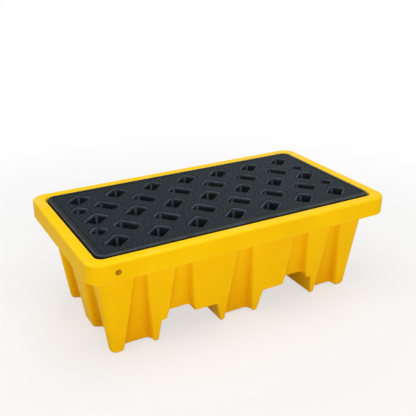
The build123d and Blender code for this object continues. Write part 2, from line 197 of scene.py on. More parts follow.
def between(foot, top, z, height=BAND_Z):
    """A size at height z that runs straight from foot at the floor to top at the height."""
    return foot + (top - foot) * z / height


def smooth_step(value, low, high):
    """0 below low, 1 above high, and between them 3 s^2 - 2 s^3 of the share s of the way."""
    share = np.clip((value - low) / (high - low), 0, 1)
    return share * share * (3 - 2 * share)


def rounded_max(a, b, radius):
    """Inside both a and b: their greater, but a circle of the radius where both are near zero."""
    corner = np.hypot(np.maximum(a + radius, 0), np.maximum(b + radius, 0))
    return np.minimum(-radius, np.maximum(a, b)) + corner


def rounded_min(a, b, radius):
    """Inside either a or b, with a fillet of the radius where they meet."""
    return -rounded_max(-a, -b, radius)


def rounded_rectangle(x, y, half_x, half_y, radius):
    """Distance from an upright rounded rectangle: how far past its corner's centre, less the radius."""
    past_x, past_y = np.abs(x) - half_x + radius, np.abs(y) - half_y + radius
    outside = np.hypot(np.maximum(past_x, 0), np.maximum(past_y, 0))
    return outside + np.minimum(np.maximum(past_x, past_y), 0) - radius


def flute(along, wall, z, foot, top, grow):
    """One upright flute: between two sides that slope in with depth, and in front of its floor.

    along is the distance along the wall, wall the distance out from its face, and foot and top are
    the flute's two edges there.
    """
    near, far = (between(*edge, z) for edge in zip(foot, top))
    past_edge = np.abs(along - (near + far) / 2) - (far - near) / 2
    side = (past_edge - wall * FLUTE_SLOPE) / math.hypot(1, FLUTE_SLOPE)
    floor = -(wall + between(*FLUTE_DEPTH, z))
    return rounded_max(side - grow, floor - grow, FLUTE_CORNER)


def body_size(z):
    """The drafted body's half length, half width and corner radius at height z."""
    return [between(foot, top, z) for foot, top in zip(BODY_FOOT, BODY_TOP)]


def body(x, y, z, grow=0):
    """The drafted body: a rounded rectangle that widens upwards, with every flute taken out of it."""
    half_x, half_y, corner = body_size(z)
    solid = rounded_rectangle(x, y, half_x - grow, half_y - grow, corner - grow)
    side_x, side_y = np.abs(x), np.abs(y)
    for foot, top in LONG_FLUTES:
        solid = rounded_max(solid, -flute(side_x, side_y - half_y, z, foot, top, grow), BODY_EDGE)
    return rounded_max(solid, -flute(side_y, side_x - half_x, z, *END_FLUTE, grow), BODY_EDGE)


def fork_channel(x, z, grow=0):
    """The channels seen along them: between slanted sides, under a roof with a raised strip."""
    side_x, over_roof = np.abs(x), z - FORK_HEIGHT
    inner, outer = (between(*edge, z, FORK_HEIGHT) for edge in (FORK_INNER, FORK_OUTER))
    sides = np.maximum(inner - side_x, side_x - outer)
    channel = rounded_max(sides - grow, over_roof - grow, FORK_CORNER)
    step_side = np.abs(side_x - STEP_X) - STEP_HALF
    strip = rounded_max(step_side - grow, over_roof - STEP_HEIGHT - grow, STEP_CORNER)
    return rounded_min(channel, strip, STEP_FILLET)


def columns(x, y, z, grow=0):
    """Two diamond columns and a cross between them, all wider further down.

    A diamond is the distance to a smaller diamond, less the radius of its corners. The cross is
    two rectangles that run into each other.
    """
    spread = grow + COLUMN_FLARE * (COLUMN_Z - z)
    shrink = 1 - COLUMN_CORNER * math.hypot(*COLUMN_HALF) / math.prod(COLUMN_HALF)
    a, b = (half * shrink for half in COLUMN_HALF)
    px, py = np.abs(np.abs(x) - COLUMN_X), np.abs(y)
    along = np.clip(((a - 2 * px) * a - (b - 2 * py) * b) / (a * a + b * b), -1, 1)
    edge = np.hypot(px - a * (1 - along) / 2, py - b * (1 + along) / 2)
    diamond = edge * np.sign(px * b + py * a - a * b) - COLUMN_CORNER - spread
    corner = CROSS_CORNER + np.maximum(spread, 0) / CROSS_SOFTENING
    arms = [
        rounded_rectangle(x, y, half_x + spread, half_y + spread, corner)
        for half_x, half_y in ((CROSS_ARMS[0], CROSS_HALF_WIDTH), (CROSS_HALF_WIDTH, CROSS_ARMS[1]))
    ]
    return np.minimum(diamond, rounded_min(*arms, CROSS_FILLET))


def well(x, y, z, floor_z):
    """The well for the deck: a rounded rectangle that draws in a little on its way down."""
    draw_in = WELL_DRAFT * (HEIGHT - z) / WELL_DEPTH
    half_x, half_y = LENGTH / 2 - RIM_TOP - draw_in, WIDTH / 2 - RIM_TOP - draw_in
    side = rounded_rectangle(x, y, half_x, half_y, WELL_CORNER - draw_in)
    return rounded_max(side, floor_z - z, WELL_FILLET)


def shell(x, y, z):
    """The sump's outside: body and rim as one, less the well, the fork channels, the grooves under
    the legs, the hollows under the columns and the seat round the vent plug."""
    rim = rounded_rectangle(x, y, LENGTH / 2, WIDTH / 2, RIM_CORNER)
    rim = rounded_max(rounded_max(rim, z - HEIGHT, RIM_EDGE), BAND_Z - z, RIM_LOWER_EDGE)
    solid = np.maximum(body(x, y, z), z - HEIGHT + BODY_BELOW_TOP)
    solid = rounded_min(solid, rim, RIM_FILLET)
    solid = rounded_max(solid, -well(x, y, z, SEAM_Z - OUTSIDE_BELOW_SEAM), RIM_EDGE)
    solid = rounded_max(solid, -fork_channel(x, z), FORK_EDGE)
    solid = rounded_max(solid, -z, FOOT_EDGE)
    side_x = np.abs(x)
    groove = np.minimum(np.abs(side_x - LEG_MIDDLE) - LEG_HALF, side_x - FORK_INNER[0] + RUNNER)
    solid = rounded_max(solid, -rounded_max(groove, z - GROOVE_HEIGHT, GROOVE_CORNER), GROOVE_EDGE)
    side_walls = np.abs(fork_channel(x, np.minimum(z, FORK_HEIGHT - SIDE_WALL_FROM)) - WALL) - WALL
    side_walls = np.maximum(side_walls, z - FORK_HEIGHT + SIDE_WALL_TO)
    hollow = rounded_max(columns(x, y, z, -WALL), z - COLUMN_Z + WALL, HOLLOW_CORNER)
    hollow = rounded_max(hollow, -side_walls, HOLLOW_EDGE)
    solid = rounded_max(solid, -hollow, HOLLOW_EDGE)
    seat = np.hypot(x - PLUG_X, z - PLUG_Z) - PLUG_SEAT_RADIUS
    seat = rounded_max(seat, y + WIDTH / 2 - PLUG_SEAT_DEPTH, PLUG_SEAT_CORNER)
    return rounded_max(solid, -seat, PLUG_SEAT_EDGE)


def basin(x, y, z):
    """The sump's inside, positive where liquid can stand: the well, and the hollow body with the
    channels' humps and the columns standing in it."""
    hollow = body(x, y, z, WALL)
    hollow = rounded_max(hollow, -fork_channel(x, z, WALL), BASIN_FILLET)
    hollow = rounded_max(hollow, GROOVE_HEIGHT + WALL - z, BASIN_FLOOR_FILLET)
    standing = rounded_max(columns(x, y, z), z - COLUMN_Z, COLUMN_EDGE)
    hollow = rounded_max(hollow, -standing, COLUMN_FILLET)
    hollow = np.maximum(hollow, z - LEDGE_Z - BASIN_OVER_LEDGE)
    return -rounded_min(well(x, y, z, LEDGE_Z), hollow, LEDGE_EDGE)


CUBE = np.array([(i, j, k) for i in (0, 1) for j in (0, 1) for k in (0, 1)])
CUBE_EDGES = np.array(
    [(a, b) for a in range(8) for b in range(a + 1, 8) if np.abs(CUBE[a] - CUBE[b]).sum() == 1]
)


def uphill(field, points):
    """The field's slope at each point, from its values a little to each side."""
    x, y, z = points.T
    steps = [
        field(x + dx, y + dy, z + dz) - field(x - dx, y - dy, z - dz)
        for dx, dy, dz in np.eye(3) * SLOPE_REACH
    ]
    return np.stack(steps, axis=1) / (2 * SLOPE_REACH)


def wrap(field, xs, ys, zs):
    """The surface where the field is zero, as points and four-sided faces, and each point's cell.

    Each grid cell that the surface passes through has one point: the mean of where it crosses the
    cell's edges, moved onto the surface down the slope. Each grid edge that it crosses has one
    face, between the points of the four cells round that edge.
    """
    value = field(xs[:, None, None], ys[None, :, None], zs[None, None, :])
    inside = value < 0
    nx, ny, nz = (len(lines) - 1 for lines in (xs, ys, zs))
    count = sum(inside[i : i + nx, j : j + ny, k : k + nz].astype(np.int8) for i, j, k in CUBE)
    crossed = (count > 0) & (count < len(CUBE))
    cells = np.argwhere(crossed)
    at = cells[:, None, :] + CUBE
    corner_value = value[at[..., 0], at[..., 1], at[..., 2]]
    corner = np.stack([xs[at[..., 0]], ys[at[..., 1]], zs[at[..., 2]]], axis=-1)
    first, second = corner_value[:, CUBE_EDGES[:, 0]], corner_value[:, CUBE_EDGES[:, 1]]
    cuts = (first < 0) != (second < 0)
    share = np.where(cuts, first / np.where(cuts, first - second, 1), 0)[..., None]
    places = corner[:, CUBE_EDGES[:, 0]] * (1 - share) + corner[:, CUBE_EDGES[:, 1]] * share
    points = (places * cuts[..., None]).sum(1) / cuts.sum(1)[:, None]
    for _ in range(SURFACE_STEPS):
        slope = uphill(field, points)
        steep = np.maximum((slope**2).sum(1), LEAST_STEEP)
        points = points - slope * (field(*points.T) / steep)[:, None]
    index = np.full(crossed.shape, -1)
    index[crossed] = np.arange(len(cells))
    faces = []
    for axis in range(3):
        axes = (axis, (axis + 1) % 3, (axis + 2) % 3)
        turned, cell = (np.moveaxis(grid, axes, (0, 1, 2)) for grid in (inside, index))
        low, high = turned[:-1, 1:-1, 1:-1], turned[1:, 1:-1, 1:-1]
        i, j, k = np.nonzero(low != high)
        round_edge = ((0, 0), (1, 0), (1, 1), (0, 1))
        four = np.stack([cell[i, j + dj, k + dk] for dj, dk in round_edge], axis=1)
        backwards = ~low[i, j, k]
        four[backwards] = four[backwards, ::-1]
        faces.append(four)
    return points, np.concatenate(faces), cells


def grid_lines(*stretches):
    """Grid lines along one axis: each stretch is (start, end, step), and the last end closes them."""
    lines = [
        np.linspace(start, end, max(round((end - start) / step), 1), endpoint=False)
        for start, end, step in stretches
    ]
    return np.append(np.concatenate(lines), stretches[-1][1])


# ---- meshes


def new_object(name, data):
    """An object with this data, in the scene."""
    made = bpy.data.objects.new(name, data)
    bpy.context.scene.collection.objects.link(made)
    return made


def fill_mesh(mesh, points, *face_sets):
    """Puts points, and sets of faces with one number of corners each, into an empty mesh."""
    corners = np.concatenate([faces.ravel() for faces in face_sets])
    counts = np.concatenate([np.full(*faces.shape) for faces in face_sets])
    mesh.vertices.add(len(points))
    mesh.vertices.foreach_set("co", points.ravel())
    mesh.loops.add(len(corners))
    mesh.loops.foreach_set("vertex_index", corners.astype(np.int32))
    mesh.polygons.add(len(counts))
    mesh.polygons.foreach_set("loop_start", (np.cumsum(counts) - counts).astype(np.int32))
    mesh.update(calc_edges=True)


def set_masks(mesh, masks):
    """Gives a mesh its masks, named values per point."""
    for name, values in masks.items():
        layer = mesh.attributes.new(name, "FLOAT", "POINT")
        layer.data.foreach_set("value", np.asarray(values, np.float32))


def make_piece(name, points, face_sets, normals, masks, material):
    """A smooth mesh piece from points in millimetres, with a normal and the masks at each point."""
    mesh = bpy.data.meshes.new(name)
    fill_mesh(mesh, points * MM, *face_sets)
    mesh.polygons.foreach_set("use_smooth", np.ones(len(mesh.polygons), bool))
    mesh.normals_split_custom_set_from_vertices(normals.tolist())
    set_masks(mesh, masks)
    mesh.materials.append(material)
    return new_object(name, mesh)


def even_points(normals, faces, masks):
    """True for the points whose faces all lie in one plane and carry one value of every mask."""
    middle = normals[faces].mean(1)
    bent = 1 - (normals[faces] * middle[:, None]).sum(2).min(1)
    patchy = sum(np.ptp(values[faces], axis=1) for values in masks.values())
    uneven = np.zeros(len(normals))
    marks = np.repeat((bent > EVEN_BEND) | (patchy > EVEN_STEP), faces.shape[1])
    np.maximum.at(uneven, faces.ravel(), marks)
    return uneven == 0


def thinned(points, faces, normals, masks, count):
    """The mesh with about count triangles: even points merge first, then where the skin bends least."""
    mesh = bpy.data.meshes.new("thinned")
    fill_mesh(mesh, points, faces)
    axes = ("nx", "ny", "nz")
    set_masks(mesh, masks | dict(zip(axes, normals.T)))
    holder = new_object("thinned", mesh)
    even = even_points(normals, faces, masks)
    group = holder.vertex_groups.new(name="even")
    group.add(np.flatnonzero(even).tolist(), EVEN_WEIGHT, "REPLACE")
    group.add(np.flatnonzero(~even).tolist(), OTHER_WEIGHT, "REPLACE")
    thin = holder.modifiers.new("thin", "DECIMATE")
    thin.ratio, thin.use_collapse_triangulate = count / (2 * len(faces)), True
    thin.vertex_group, thin.vertex_group_factor = group.name, WEIGHT_FACTOR
    made = bpy.data.meshes.new_from_object(holder.evaluated_get(bpy.context.evaluated_depsgraph_get()))
    rows = {name: np.empty(len(made.vertices), np.float32) for name in (*masks, *axes)}
    for name, row in rows.items():
        made.attributes[name].data.foreach_get("value", row)
    spots, three = np.empty(3 * len(made.vertices)), np.empty(len(made.loops), np.int32)
    made.vertices.foreach_get("co", spots)
    made.loops.foreach_get("vertex_index", three)
    bpy.data.objects.remove(holder)
    for used in (mesh, made):
        bpy.data.meshes.remove(used)
    normals = np.stack([rows.pop(axis) for axis in axes], axis=1)
    return spots.reshape(-1, 3), [three.reshape(-1, 3)], normals, rows


def falls_away(field, points, normals, reach):
    """How far the surface falls away to its sides at each point, from the field's mean at four places
    on the plane that touches it: over zero on an edge, under it in a hollow."""
    level = np.abs(normals[:, 2:]) > NEARLY_LEVEL
    across = np.cross(normals, np.where(level, (1.0, 0, 0), (0, 0, 1.0)))
    across /= np.linalg.norm(across, axis=1)[:, None]
    up = np.cross(normals, across)
    around = [field(*(points + side * reach).T) for side in (across, -across, up, -up)]
    return sum(around) / len(around)


def in_flute(x, y, z):
    """1 on the floors and sides of the outside's flutes, 0 on the faces between them and in the
    channels: by the depth under the body's faces, away from the channels and below the rim."""
    depth = -rounded_rectangle(x, y, *body_size(z))
    let_in = smooth_step(depth, *FLUTE_STARTS) * (1 - smooth_step(depth, *FLUTE_ENDS))
    return let_in * smooth_step(fork_channel(x, z), *FLUTE_CLEAR) * (z < BAND_Z + FLUTE_OVER_BAND)


def sump_masks(field, points, normals):
    """Where the sump is rubbed or takes a painted edge highlight, where painted shade goes in hollows
    and flutes, where it is level, and where painted light goes on faces that look up and in the basin,
    as a value at each point.
    """
    x, y, z = points.T
    up = normals[:, 2]
    by_wall = np.maximum(np.abs(x) - LEDGE_FROM[0], np.abs(y) - LEDGE_FROM[1]) > 0
    on_ledge = by_wall & (np.abs(z - LEDGE_Z) < LEDGE_NEAR)
    level = np.where(z > HEIGHT - RIM_NEAR, RIM_RUB, on_ledge)
    edge = np.clip(falls_away(field, points, normals, EDGE_REACH) / EDGE_FALL, 0, 1)
    return {
        # Rubbed edges, with a painted highlight that is stronger on edges facing up.
        "edge": edge * (EDGE_LEAST + (1 - EDGE_LEAST) * smooth_step(up, *EDGE_UP)),
        # Painted shade in hollows.
        "hollow": np.clip(-falls_away(field, points, normals, HOLLOW_REACH) / HOLLOW_RISE, 0, 1),
        "rest": level * smooth_step(up, *REST_UP),
        # Painted light: faces that look up are painted paler.
        "up": smooth_step(up, *FACING_UP),
        # Painted shade low in the flutes.
        "flute": in_flute(x, y, z) * float(field is shell),
        # Painted light: the basin is painted paler to make up for the deck's shade.
        "inside": float(field is basin) * smooth_step(HEIGHT - z, *INSIDE_BELOW_TOP),
    }


def sump_piece(material):
    """The sump as one closed skin: its outside and its inside come from two fields on one grid, and
    meet at SEAM_Z, on the wall of the well."""
    xs, ys, zs = (grid_lines(*stretches) for stretches in (GRID_X, GRID_Y, GRID_Z))
    seam = int(np.searchsorted(zs, SEAM_Z)) - 1
    at_seam = np.full((len(xs), len(ys)), -1)
    points, faces, values = np.empty((0, 3)), [], []
    for field in (shell, basin):
        spots, four, cells = wrap(field, xs, ys, zs)
        over_well = (np.abs(spots[:, :2]) < WELL_BOX).all(1)
        if field is shell:
            kept = (cells[:, 2] >= seam) | ~over_well | (spots[:, 2] < OUTSIDE_FLOOR)
        else:
            kept = cells[:, 2] <= seam
        four = four[kept[four].all(1)]
        used, four_again = np.unique(four, return_inverse=True)
        spots, cells, four = spots[used], cells[used], four_again.reshape(four.shape)
        slope = uphill(field, spots)
        normals = slope / np.linalg.norm(slope, axis=1)[:, None]
        number = np.arange(len(spots)) + len(points)
        shared = (cells[:, 2] == seam) & over_well[used]
        place = tuple(cells[shared, :2].T)
        if field is shell:
            at_seam[place] = number[shared]
        else:
            number[shared] = at_seam[place]
        faces.append(number[four])
        points = np.concatenate([points, spots])
        values.append({"normal": normals} | sump_masks(field, spots, normals))
    used, faces = np.unique(np.concatenate(faces), return_inverse=True)
    masks = {name: np.concatenate([part[name] for part in values])[used] for name in values[0]}
    normals = masks.pop("normal")
    skin = thinned(points[used], faces.reshape(-1, 4), normals, masks, SUMP_TRIANGLES)
    piece = make_piece("sump_moulding", *skin, material)
    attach(piece, "sump")
    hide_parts("sump")


# ---- deck


def rounded_outline(half_x, half_y, radius, per_corner, stations_x=(), stations_y=()):
    """A rounded rectangle's outline, anticlockwise: a quarter circle at each corner, and stations
    along the straight sides, as distances from their middles."""
    turn = np.linspace(0, math.pi / 2, per_corner)
    parts = []
    for quarter, (sign_x, sign_y) in enumerate(((1, 1), (-1, 1), (-1, -1), (1, -1))):
        x, y = sign_x * (half_x - radius), sign_y * (half_y - radius)
        angle = turn + quarter * math.pi / 2
        parts.append(np.stack([x + radius * np.cos(angle), y + radius * np.sin(angle)], axis=1))
        along_x, way = quarter % 2 == 0, (-1, -1, 1, 1)[quarter]
        stations = np.asarray(stations_x if along_x else stations_y, float)
        steps = np.sort(stations * way)[::way]
        side = np.full(len(steps), sign_y * half_y if along_x else sign_x * half_x)
        parts.append(np.stack([steps, side] if along_x else [side, steps], axis=1))
    return np.concatenate(parts)


def carried(outlines):
    """Faces between outlines of equal length, one after another, each closed on itself."""
    rows, count = len(outlines), len(outlines[0])
    row, column = np.meshgrid(np.arange(rows - 1), np.arange(count), indexing="ij")
    after = (column + 1) % count
    a, b = row * count + column, row * count + after
    return np.stack([a, b, b + count, a + count], axis=-1).reshape(-1, 4)


def pocket_places():
    """Every drain pocket as (x, y, size, turn): main and cross rows by turns, and a small pocket at
    each end of a cross row."""
    places = []
    for row in range(-2, 3):
        y = row * POCKET_PITCH[1]
        if row % 2 == 0:
            places += [(i * POCKET_PITCH[0], y, MAIN_POCKET, MAIN_TURN) for i in range(-3, 4)]
        else:
            places += [((i + 0.5) * POCKET_PITCH[0], y, CROSS_POCKET, CROSS_TURN) for i in range(-3, 3)]
            places += [(x, y, SMALL_POCKET, SMALL_TURN) for x in (-SMALL_POCKET_X, SMALL_POCKET_X)]
    return places


def flat_sheet(outer, holes, inner, facing_up):
    """A flat sheet inside the outer outline, outside the holes and through the inner points: which of
    all these points, in this order, each of its own is, and its triangles."""
    loops = [outer] + holes
    starts = np.cumsum([0] + [len(loop) for loop in loops])
    flat = np.concatenate(loops + [inner])
    edges = []
    for start, loop in zip(starts, loops):
        edges += [(start + i, start + (i + 1) % len(loop)) for i in range(len(loop))]
    spots = [Vector(spot) for spot in flat]
    _, _, triangles, owners, *_ = geometry.delaunay_2d_cdt(spots, edges, [], 0, SAME_PLACE)
    number = np.array([owner[0] for owner in owners])
    spots, triangles = flat[number], np.array(triangles)
    middle = spots[triangles].mean(1)
    keep = np.ones(len(middle), bool)
    for hole in holes:
        near = np.flatnonzero(np.hypot(*(middle - hole.mean(0)).T) < POCKET_REACH)
        ahead, past = np.roll(hole, -1, axis=0) - hole, middle[near, None] - hole
        left = ahead[:, 0] * past[..., 1] - ahead[:, 1] * past[..., 0]
        keep[near[(left > 0).all(1)]] = False
    triangles = triangles[keep]
    a, b, c = (spots[triangles[:, n]] for n in range(3))
    ab, ac = b - a, c - a
    left = ab[:, 0] * ac[:, 1] - ab[:, 1] * ac[:, 0]
    swap = (left > 0) != facing_up
    triangles[swap] = triangles[swap, ::-1]
    return number, triangles


def turning(degrees):
    """The matrix that turns rows of (x, y) anticlockwise."""
    cos, sin = math.cos(math.radians(degrees)), math.sin(math.radians(degrees))
    return np.array([[cos, sin], [-sin, cos]])


def stud_places():
    """The middle of each stud on the deck's field: staggered rows, each stud moved a little at random,
    and none close to the border or to a pocket's lip."""
    half_x, half_y = (length - DECK_BORDER - FIELD_SLOPE - STUD_CLEAR for length in DECK_HALF)
    across, along = STUD_PITCH, STUD_PITCH * math.sqrt(3) / 2
    in_row, rows = (np.arange(-n, n + 1) for n in (int(half_x / across) + 1, int(half_y / along) + 1))
    column, row = np.meshgrid(in_row, rows)
    places = np.stack([(column + row % 2 / 2) * across, row * along], axis=-1).reshape(-1, 2)
    places = places + RANDOM.uniform(-STUD_SHIFT, STUD_SHIFT, places.shape)
    clear = rounded_rectangle(*places.T, half_x, half_y, DECK_CORNER - DECK_BORDER) < 0
    for x, y, size, turn in pocket_places():
        half = [length / 2 + POCKET_LIP + STUD_CLEAR for length in size]
        own_x, own_y = ((places - (x, y)) @ turning(-turn)).T
        clear &= rounded_rectangle(own_x, own_y, *half, POCKET_CORNER + POCKET_LIP) > 0
    return places[clear]


def studs():
    """The studs' points, and how much of a full stud's height each has: a middle with six points round
    its foot. Sizes and turns differ at random."""
    places = stud_places()
    size, start = RANDOM.uniform(*STUD_SIZES, len(places)), RANDOM.uniform(0, math.pi, len(places))
    angle = start[:, None] + np.arange(STUD_SIDES) * math.pi / (STUD_SIDES / 2)
    foot = places[:, None] + STUD_RADIUS * np.stack([np.cos(angle), np.sin(angle)], axis=-1)
    share = np.zeros((len(places), STUD_SIDES + 1))
    share[:, 0] = size
    return np.concatenate([places[:, None], foot], axis=1).reshape(-1, 2), share.ravel()


def panel_stations(half, from_corner):
    """Places along a side of the deck: close together at the ends of its panel, even between them."""
    edge = half - from_corner
    ends, even = edge - np.array(PANEL_END_STATIONS), edge - PANEL_EVEN_FROM
    return np.concatenate([-ends, np.linspace(-even, even, PANEL_EVEN_STATIONS), ends[::-1]])


def panel_in(along, axis, z):
    """How far a side's panel is let in: a smooth step at each edge, and at each end a narrow groove
    whose depth falls off as exp(-s^2) from its middle."""
    inside = DECK_HALF[axis] - PANEL_FROM_CORNER[axis] - np.abs(along)
    from_groove = (inside - PANEL_GROOVE_IN) / (PANEL_GROOVE_WIDTH / 2)
    groove = PANEL_GROOVE[axis] * np.exp(-(from_groove**2))
    low, high = (
        smooth_step(z - LEDGE_Z, height - PANEL_SLOPE, height + PANEL_SLOPE)
        for height in (PANEL_LOW, PANEL_HIGH)
    )
    step = smooth_step(inside, -PANEL_END_SLOPE, PANEL_END_SLOPE)
    return (PANEL_DEPTH[axis] * step + groove) * (low - high)


def quarter_round(radius, angles):
    """How far a quarter circle stays from its square corner's two sides, at each angle."""
    return [(radius * (1 - math.sin(t)), radius * (1 - math.cos(t))) for t in angles]


def deck_edge_profile():
    """The deck's edge as (inset, height): a quarter circle at the foot, the side with the panel's low
    and high steps, a quarter circle at the top, the border, and a smooth step down to the field."""
    angles = np.linspace(0, math.pi / 2, DECK_EDGE_STEPS)
    foot = [(a, LEDGE_Z + b) for a, b in quarter_round(DECK_FOOT, angles)]
    low, high = ((z - PANEL_SLOPE, z + PANEL_SLOPE) for z in (PANEL_LOW, PANEL_HIGH))
    side = [(0, LEDGE_Z + height) for height in (*low, *PANEL_RINGS, *high)]
    top = [(b, DECK_TOP_Z - a) for a, b in quarter_round(DECK_EDGE, angles)]
    step = [
        (DECK_BORDER + FIELD_SLOPE * share, DECK_TOP_Z - DECK_FIELD_DROP * smooth_step(share, 0, 1))
        for share in (0, 0.25, 0.5, 0.75, 1)
    ]
    under, border = (DECK_FOOT + DECK_UNDER, LEDGE_Z), (DECK_BORDER - BORDER_RING, DECK_TOP_Z)
    return [under, *foot, *side, *top, border, *step]


def deck_edge():
    """The deck's edge profile carried round its outline, with the panels let in, and each ring's edge
    mask, which places a rubbed edge with a painted highlight on the outer lip."""
    stations = [panel_stations(*side) for side in zip(DECK_HALF, PANEL_FROM_CORNER)]
    rings, rubbed = [], []
    for inset, z in deck_edge_profile():
        half = [length - inset for length in DECK_HALF]
        corner = max(DECK_CORNER - inset, LEAST_CORNER)
        ring = rounded_outline(*half, corner, DECK_CORNER_STEPS, *stations)
        for axis in (0, 1):
            across = 1 - axis
            on_side = np.abs(ring[:, across]) > half[across] - PANEL_SIDE_NEAR
            ring[:, across] -= np.sign(ring[:, across]) * panel_in(ring[:, axis], axis, z) * on_side
        rings.append(np.column_stack([ring, np.full(len(ring), z)]))
        # The outer lip's mask: a rubbed edge with a painted highlight.
        near = max(1 - abs(inset - EDGE_MASK_INSET) / EDGE_MASK_HALF, 0)
        rubbed.append(near if z > DECK_TOP_Z - EDGE_MASK_BELOW else 0)
    return rings, rubbed


def pocket_rows(x, y, size, turn):
    """A drain pocket's outlines: a quarter-round lip, a tapered wall and a small rounding below."""
    angles = np.linspace(0, math.pi / 2, len(LIP_EDGE))
    steps = [(a, FIELD_Z - b) for a, b in quarter_round(POCKET_LIP, angles)]
    wall = np.linspace(FIELD_Z - POCKET_WALL[0], LEDGE_Z + POCKET_WALL[1], POCKET_WALL_STEPS)
    steps += [(-POCKET_TAPER * (DECK_TOP_Z - z) / DECK_THICK, z) for z in wall]
    foot = quarter_round(POCKET_FOOT, POCKET_FOOT_ANGLES)
    steps += [(b - POCKET_TAPER, LEDGE_Z + a) for a, b in foot]
    rows = []
    for grow, z in steps:
        half = [length / 2 + grow for length in size]
        corner = POCKET_CORNER + max(grow, POCKET_LEAST_GROW)
        outline = rounded_outline(*half, corner, POCKET_CORNER_STEPS) @ turning(turn)
        rows.append(np.column_stack([outline + (x, y), np.full(len(outline), z)]))
    return rows


def with_masks(points, edge, smooth, corner, stud):
    """Rows of x, y, z and the deck's four masks, each one value or one per point."""
    masks = [np.broadcast_to(mask, len(points)) for mask in (edge, smooth, corner, stud)]
    return np.column_stack([points, *masks])


def joined(rows):
    """Rows with one x, y and z made one, the last of them, and each old row's new number."""
    places = np.round(rows[::-1, :3], SAME_DECIMALS)
    _, first, number = np.unique(places, axis=0, return_index=True, return_inverse=True)
    return rows[len(rows) - 1 - first], number.ravel()[::-1]


def weighted_normals(points, face_sets):
    """Each point's normal: its faces' normals times their areas, from their diagonals, added up."""
    total = np.zeros_like(points)
    for corners in face_sets:
        ahead = points[corners[:, 2]] - points[corners[:, 0]]
        normal = np.cross(ahead, points[corners[:, -1]] - points[corners[:, 1]])
        for column in corners.T:
            np.add.at(total, column, normal)
    return total / np.linalg.norm(total, axis=1)[:, None]


def deck_piece(material):
    """The deck: its edge carried round the outline, a lip and a tapered wall in each pocket, and flat
    sheets between them, with the studs on the upper one. Masks: edge on the lips, smooth off the field,
    corner in the pockets' corners, stud for the studs' height; edge, corner and stud place painted
    highlights."""
    rings, rubbed = deck_edge()
    parts = [with_masks(np.concatenate(rings), np.repeat(rubbed, len(rings[0])), 1, 0, 0)]
    quads, high_holes, low_holes = [carried(rings)], [], []
    total = len(parts[0])
    for place in pocket_places():
        rows = pocket_rows(*place)
        lip, wall = len(LIP_EDGE), len(rows) - len(LIP_EDGE)
        # Masks down the lip and wall: a painted highlight on the lip and in the wall's corners.
        edge = np.repeat(LIP_EDGE + (0,) * wall, len(rows[0]))
        smooth = np.repeat(LIP_SMOOTH + (1,) * wall, len(rows[0]))
        on_corner = np.tile(np.sin(np.linspace(0, math.pi, POCKET_CORNER_STEPS)), 4)
        corner = np.outer([0] * lip + [1] * wall, on_corner).ravel()
        parts.append(with_masks(np.concatenate(rows), edge, smooth, corner, 0))
        quads.append(carried(rows) + total)
        high_holes.append(rows[0][:, :2])
        low_holes.append(rows[-1][:, :2])
        total += len(parts[-1])
    triangles = []
    none = np.empty((0, 2)), np.empty(0)
    sheets = (
        (rings[-1], high_holes, FIELD_Z, studs(), True),
        (rings[0], low_holes, LEDGE_Z, none, False),
    )
    for outline, holes, z, (inner, share), facing_up in sheets:
        number, three = flat_sheet(outline[:, :2], holes, inner, facing_up)
        flat = np.concatenate([outline[:, :2], *holes, inner])
        share = np.concatenate([np.zeros(len(flat) - len(inner)), share])[number]
        points = np.column_stack([flat[number], z + STUD_HEIGHT * share])
        parts.append(with_masks(points, 0, 0 if facing_up else 1, 0, share))
        triangles.append(three + total)
        total += len(points)
    rows, number = joined(np.concatenate(parts))
    points, masks = rows[:, :3], dict(zip(("edge", "smooth", "corner", "stud"), rows[:, 3:].T))
    face_sets = [number[np.concatenate(faces)] for faces in (quads, triangles)]
    normals = weighted_normals(points, face_sets)
    piece = make_piece("deck_plate", points, face_sets, normals, masks, material)
    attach(piece, "deck")
    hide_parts("deck")


# ---- materials


def set_inputs(tree, node, inputs):
    """Sets a node's inputs, each by its number or its name with underscores for spaces, to a value,
    or links them from a socket."""
    for key, value in inputs.items():
        socket = node.inputs[key.replace("_", " ") if isinstance(key, str) else key]
        if isinstance(value, bpy.types.NodeSocket):
            tree.links.new(value, socket)
        else:
            socket.default_value = value
    return node


def add_node(tree, kind, settings=None, **inputs):
    """Adds a shader node, with its settings and its inputs by name."""
    node = tree.nodes.new("ShaderNode" + kind)
    for key, value in (settings or {}).items():
        setattr(node, key, value)
    return set_inputs(tree, node, inputs)


def maths(tree, operation, a, b, c=0.0, clamp=False):
    """One Math node's result."""
    node = add_node(tree, "Math", {"operation": operation, "use_clamp": clamp})
    return set_inputs(tree, node, {0: a, 1: b, 2: c}).outputs[0]


def times(tree, a, b, plus=0.0):
    """a times b, plus a third value."""
    return maths(tree, "MULTIPLY_ADD", a, b, plus)


def mix_colours(tree, share, first, second):
    """One colour Mix node's result."""
    node = add_node(tree, "Mix", {"data_type": "RGBA"})
    return set_inputs(tree, node, {0: share, 6: first, 7: second}).outputs[2]


def remap(tree, value, low, high, new_low=0.0, new_high=1.0):
    """A Map Range node's result, clamped."""
    ends = {"From_Min": low, "From_Max": high, "To_Min": new_low, "To_Max": new_high}
    return add_node(tree, "MapRange", Value=value, **ends).outputs[0]


def noise(tree, place, scale, detail, roughness=0.5):
    """A noise texture's grey value on object coordinates, with scale in cycles per metre."""
    look = {"Scale": scale, "Detail": detail, "Roughness": roughness}
    return add_node(tree, "TexNoise", Vector=place, **look).outputs[0]


def mask_of(tree, name):
    """A per-point mask, by name."""
    return add_node(tree, "Attribute", {"attribute_name": name}).outputs["Fac"]


